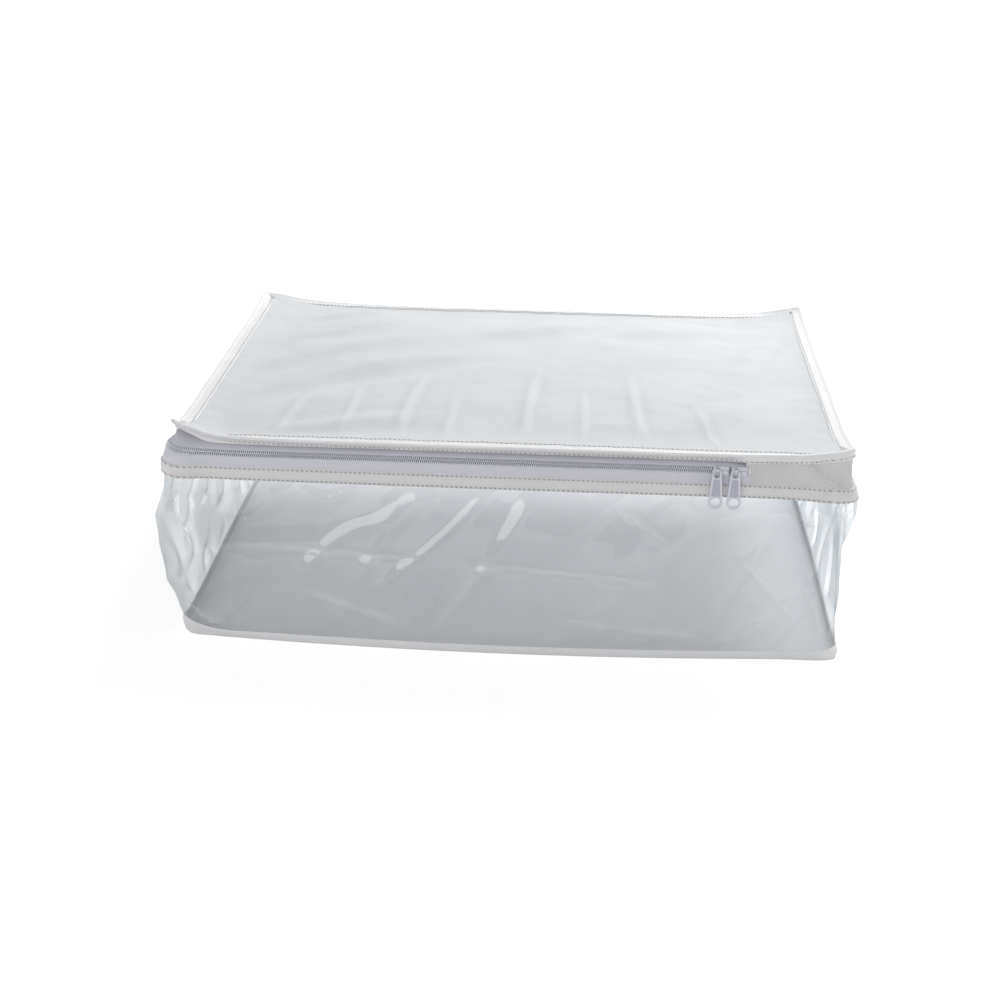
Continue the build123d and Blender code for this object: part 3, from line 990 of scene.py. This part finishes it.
def pull(side, shift):
    """Long tapered pull: a sunk panel with six pips, a round window and an eye."""
    low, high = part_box(f"pull_{side}")
    hinge = Vector(JOINTS[f"pull_{side}_swing"]["pos_m"])
    x, y = hinge.x, hinge.y
    thick = high.y - low.y
    end_radius = (high.x - low.x) / 2
    top_radius, rim, eye_wide, eye_long, window = 4.1 * MM, 1.4 * MM, 5.2 * MM, 6.8 * MM, 4.1 * MM
    top_z = high.z - top_radius
    end_z = low.z + end_radius
    through = 4 * thick
    tab = hull_of("tab", [disc(top_radius, thick, x, y, top_z, 48), disc(end_radius, thick, x, y, end_z, 56)])
    eye_low = high.z - rim - eye_long
    eye = hull_of("eye", [disc(eye_wide / 2, through, x, y, high.z - rim - eye_wide / 2, 32),
                          disc(eye_wide / 2, through, x, y, eye_low + eye_wide / 2, 32)])
    cut(tab, eye)
    window_z = end_z + 0.6 * MM
    cut(tab, disc(window, through, x, y, window_z, 44))
    panel_top = eye_low - 1.3 * MM
    panel_low = window_z + window + 1.3 * MM
    floor_y = low.y + 0.62 * MM
    half_panel = 2.7 * MM
    panel = rounded_block("panel", (x - half_panel, low.y - thick, panel_low),
                          (x + half_panel, floor_y, panel_top), 0.1 * MM)
    co = points(panel)
    spread = (co[:, 2] - panel_low) / (panel_top - panel_low)
    co[:, 0] = x + (co[:, 0] - x) * (1.45 - 0.45 * spread)
    move_points(panel, co)
    cut(tab, panel)
    finish_modifier(tab, "BEVEL", width=0.32 * MM, segments=3, limit_method="ANGLE",
                    angle_limit=math.radians(40))
    pips = [tab]
    for row in range(2):
        for column in (-1, 0, 1):
            place = (x + column * 1.75 * MM, floor_y, panel_low + (1.5 + 2.1 * row) * MM)
            pip = add_shape("pip", bpy.ops.mesh.primitive_uv_sphere_add, segments=10, ring_count=6,
                            radius=0.62 * MM, location=place)
            pips.append(freeze(pip))
    body = join(f"pull_{side}_tab", pips)
    dress(smooth(body, 35), ENAMEL)
    # The sunk panel's floor faces take the darker enamel: painted shade in the recess.
    body.data.materials.append(SUNK_ENAMEL_SHADED)
    for face in body.data.polygons:
        if face.normal.y < -0.9 and abs(face.center.y - floor_y) < 0.05 * MM:
            face.material_index = 1
    body.data.transform(Matrix.Translation(shift))
    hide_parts(f"pull_{side}")
    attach(body, f"pull_{side}")


# ---------------- film walls and base

def crease(s, z, s0, z0, s1, z1, depth, wide):
    """A sharp fold pressed into the film along a straight line, fading at its ends."""
    ds, dz = s1 - s0, z1 - z0
    length = math.hypot(ds, dz)
    t = ((s - s0) * ds + (z - z0) * dz) / length / length
    across = ((z - z0) * ds - (s - s0) * dz) / length
    fade = ease(t / 0.3) * ease((1 - t) / 0.3)
    return depth * fade * np.exp(1 - np.sqrt(1 + np.square(2 * across / wide)))


# Each crease's start and end, round the outline and up, its depth and its width, in millimetres.
FILM_CREASES = (
    (18, 98, 250, 90, -2.2, 4.9),
    (230, 91, 470, 74, -2.0, 4.9),
    (4, 150, 26, 80, 2.8, 4.6),
    (30, 152, 12, 110, -2.6, 4.2),
    (-20, 150, -6, 60, 2.6, 4.9),
    (24, 100, 8, 20, 2.4, 4.6),
    (10, 26, 50, 12, 2.6, 4.2),
    (2, 40, 30, 10, -2.4, 3.4),
    (597, 156, 578, 122, 3.2, 3.8),
    (585, 132, 566, 70, 3.0, 4.9),
    (566, 78, 590, 16, 3.2, 4.9),
    (545, 148, 575, 134, 3.4, 3.4),
    (566, 150, 596, 146, 3.0, 3.4),
    (400, 145, 448, 110, 1.8, 4.9),
    (100, 60, 220, 20, 1.6, 5.7),
    (330, 40, 500, 22, -1.6, 5.7),
    (500, 110, 560, 40, 1.8, 4.9),
    (640, 140, 760, 90, 2.2, 5.7),
    (900, 120, 1030, 50, 2.4, 5.7),
    (-330, 120, -180, 70, 2.2, 5.7),
    (-150, 140, -60, 50, 2.4, 5.7),
    (1150, 110, 1420, 80, -2.0, 5.7),
)


def film_creases(s, z):
    """Height of the creases pressed into the film, and how much each whitens it: real whitening and painted
    highlight together.
    """
    wrapped = np.mod(s + PERIMETER / 4, PERIMETER) - PERIMETER / 4
    height = crease_whitening_and_glint = 0
    for line in FILM_CREASES:
        *ends, depth, wide = (length * MM for length in line)
        height = height + crease(wrapped, z, *ends, depth, wide)
        crease_whitening_and_glint = crease_whitening_and_glint + crease(wrapped, z, *ends, 0.4, 0.8 * wide)
    return height, np.clip(crease_whitening_and_glint, 0, 1)


def film_seams(z):
    """1 on the open film, fading to 0 where it is sewn in."""
    return ease((STRIP_LOW - z) / (14 * MM)) * ease((z - BASE_TALL) / (12 * MM))


def film_relief(s, z):
    """Waves, creases and gathers of the film, all fading to nothing at its seams."""
    turn = 2 * math.pi / PERIMETER
    ring = PERIMETER / (2 * math.pi)
    waves = np.empty_like(s)
    for i, (sv, zv) in enumerate(zip(s, z)):
        spot = Vector((math.cos(sv * turn), math.sin(sv * turn), 0)) * ring
        slow = noise.noise(Vector((spot.x * 11, spot.y * 11, zv * 16)))
        fold = 1 - abs(noise.noise(Vector((spot.x * 19 + zv * 14, spot.y * 19 - zv * 9, zv * 7 + 3))))
        fine = noise.noise(Vector((spot.x * 90, spot.y * 90, zv * 22)))
        hang = math.exp(-max(STRIP_LOW - zv, 0) / (20 * MM))
        foot = math.exp(-max(zv - BASE_TALL, 0) / (12 * MM))
        waves[i] = 2.6 * MM * slow + 3.0 * MM * max(fold - 0.72, 0) / 0.28 + 1.5 * MM * fine * (hang + foot)
    return (film_creases(s, z)[0] + waves) * film_seams(z)


def film_spacing(along):
    """Points closer together on the front and its corners than on the other sides."""
    knots = np.array([0, 0.46, 0.52, 1.0])
    places = np.array([-0.04, 2 * HALF_X + 0.04, 2 * HALF_X + 0.12, PERIMETER - 0.04])
    return np.interp(along, knots, places)


def film_wall():
    """The clear wall: one length of film round all four sides."""
    section = profile((-1.0, FABRIC, 0), (-1.0, FILM_TOP, 0))
    wall = ribbon("film_wall", 0, PERIMETER, section, 2.6 * MM, thick=0, relief=film_relief, rows=84,
                  spacing=film_spacing)
    flat = np.empty(len(wall.data.loops) * 2)
    wall.data.uv_layers["flat"].data.foreach_get("uv", flat)
    corners = np.empty(len(wall.data.loops), int)
    wall.data.loops.foreach_get("vertex_index", corners)
    places = np.zeros((len(wall.data.vertices), 2))
    places[corners] = flat.reshape(-1, 2)
    # The crease whitening, partly painted highlight, is stored on the film's points.
    milky = film_creases(places[:, 0], places[:, 1])[1] * film_seams(places[:, 1])
    wall.data.attributes.new("crease_whitening_and_glint", "FLOAT", "POINT").data.foreach_set("value", milky)
    dress(wall, VINYL)
    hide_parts("front_window", "back_window", "left_window", "right_window")
    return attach(wall, "bag")


def base_binding():
    """Tape turned up round the base's seam."""
    section = profile((-3.0, 0, 0.15), (-0.6, 0, 0.2), (0.5, 0, 1.4), (1.0, BASE_TALL / 2, 0),
                      (0.8, BASE_TALL, -1.6), (-0.6, BASE_TALL, 0.3))
    tape = ribbon("base_binding", 0, PERIMETER, section, 2.15 * MM, thick=0.8 * MM, rows=15)
    dress(tape, BINDING_TAPE)
    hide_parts(*(f"base_binding_{side}" for side in ("front", "back", "left", "right")))
    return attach(tape, "bag")


def round_corners(x, y):
    """Draw a sheet's four corners in to the same round as the tape that binds them."""
    reach = 0.65 * CORNER_REACH
    over_x = np.clip((np.abs(x) - HALF_X + reach) / reach, 0, 1)
    over_y = np.clip((np.abs(y) - HALF_Y + reach) / reach, 0, 1)
    round_x = over_x * np.sqrt(1 - over_y ** 2 / 2)
    round_y = over_y * np.sqrt(1 - over_x ** 2 / 2)
    return (np.sign(x) * (np.abs(x) + reach * (round_x - over_x)),
            np.sign(y) * (np.abs(y) + reach * (round_y - over_y)))


def base_cloth():
    """The fabric base, bowed out to meet the walls' feet."""
    cloth, along, across = flat_grid("base_cloth", 120, 90)
    u, v = 2 * along - 1, 2 * across - 1
    x, y = round_corners(u * (HALF_X - 1.5 * MM), v * (HALF_Y - 1.5 * MM))
    keep_flat_places(cloth, np.column_stack([x, y]))
    front, right, back, left = (bow(s, 0.0) for s in abreast(x, y, HAIR))
    new_y = y - front * ease((-v - 0.3) / 0.7) + back * ease((v - 0.3) / 0.7)
    new_x = x + right * ease((u - 0.3) / 0.7) - left * ease((-u - 0.3) / 0.7)
    soft = np.array([noise.noise(Vector((a * 8, b * 8, 9.0))) for a, b in zip(x, y)])
    z = FABRIC + 0.1 * MM + 0.5 * MM * (1 + soft) * ease((1 - np.abs(u)) / 0.2) * ease((1 - np.abs(v)) / 0.2)
    move_points(cloth, np.column_stack([new_x, new_y, z]))
    finish_modifier(cloth, "SOLIDIFY", thickness=FABRIC, offset=-1)
    dress(smooth(cloth, 60), BASE_CLOTH)
    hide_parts("base_panel")
    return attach(cloth, "bag")


# ---------------- studio

def seen_directly(tree):
    """1 for what the camera sees, also mirrored or through film, and 0 for light shed on the box."""
    path = add(tree, "ShaderNodeLightPath").outputs
    seen = sums(tree, "MAXIMUM", path["Is Camera Ray"], path["Is Glossy Ray"])
    return sums(tree, "MAXIMUM", seen, path["Is Transmission Ray"])


def surround(scene):
    """A world that looks white and sheds less light from above than from the sides."""
    world = bpy.data.worlds.new("studio")
    scene.world = world
    world.use_nodes = True
    tree = world.node_tree
    tree.nodes.clear()
    way = add(tree, "ShaderNodeNewGeometry").outputs["Position"]
    up = add(tree, "ShaderNodeSeparateXYZ", {0: way}).outputs["Z"]
    dome = carried(tree, up, 0.0, 0.9, 0.72, 0.22)
    strength = add(tree, "ShaderNodeMix", {0: seen_directly(tree), 2: dome, 3: 1.0}).outputs[0]
    sky = add(tree, "ShaderNodeBackground", {"Color": (1, 1, 1, 1), "Strength": strength})
    add(tree, "ShaderNodeOutputWorld", {"Surface": sky.outputs[0]})


def pale_floor():
    """A pale floor that fades to white away from the box."""
    floor = add_shape("floor", bpy.ops.mesh.primitive_plane_add, size=14)
    material, tree, place = new_material("pale_floor")
    away = add(tree, "ShaderNodeVectorMath", {0: place}, operation="LENGTH").outputs["Value"]
    far = carried(tree, away, 0.4, 1.4, 0.62, 1.0, interpolation_type="SMOOTHSTEP")
    level = sums(tree, "MULTIPLY", seen_directly(tree), far)
    glow = add(tree, "ShaderNodeEmission", {"Color": (1, 1, 1, 1), "Strength": level})
    matt = add(tree, "ShaderNodeBsdfDiffuse", {"Color": linear("#E4E4E4")})
    both = add(tree, "ShaderNodeAddShader", {0: matt.outputs[0], 1: glow.outputs[0]})
    floor.data.materials.append(finished(material, both.outputs[0]))


# Each lamp's name, place and size in metres, and watts.
LAMPS = (
    ("back_key", (0.85, 1.35, 1.7), (1.3, 1.0), 39),
    ("front_fill", (-1.4, -2.2, 1.1), (1.2, 1.2), 9),
    ("right_strip", (2.2, -0.8, 0.85), (0.14, 1.3), 7),
    ("left_strip", (-2.1, -1.3, 1.0), (0.12, 1.2), 4),
)


def studio():
    """Pale floor, soft light from above and behind, and a white surround."""
    scene = bpy.context.scene
    scene.view_settings.view_transform = "Standard"
    surround(scene)
    pale_floor()
    for name, place, size, power in LAMPS:
        data = bpy.data.lights.new(name, "AREA")
        data.shape = "RECTANGLE"
        data.size, data.size_y = size
        data.energy = power
        lamp = bpy.data.objects.new(name, data)
        scene.collection.objects.link(lamp)
        lamp.location = place
        aim = Vector((0, 0, 0.1)) - Vector(place)
        lamp.rotation_euler = aim.to_track_quat("-Z", "Y").to_euler()


def camera():
    """A long lens from a little above, as in a catalogue shot."""
    rise, turn, roll = math.radians(23.021), math.radians(2.997), math.radians(0.853)
    back = Vector((math.sin(turn) * math.cos(rise), -math.cos(turn) * math.cos(rise), math.sin(rise)))
    level = Vector((math.cos(turn), math.sin(turn), 0))
    right = level * math.cos(roll) + back.cross(level) * math.sin(roll)
    up = back.cross(right)
    data = bpy.data.cameras.new("catalogue")
    data.sensor_width = 36
    data.lens = 1.683 * data.sensor_width
    eye = bpy.data.objects.new("catalogue", data)
    bpy.context.scene.collection.objects.link(eye)
    place = Vector((0.0643, -1.5993, 0.7307))
    axes = Matrix((right, up, back)).transposed()
    eye.matrix_world = Matrix.Translation(place) @ axes.to_4x4()
    bpy.context.scene.camera = eye


# ---------------- the whole box

studio()
camera()
lid()
top_binding()
header_band()
facing_strip()
zipper_tapes()
coils()
stops()
stitch_rows()
for which in ("left", "right"):
    pull(which, slider(which))
film_wall()
base_binding()
base_cloth()
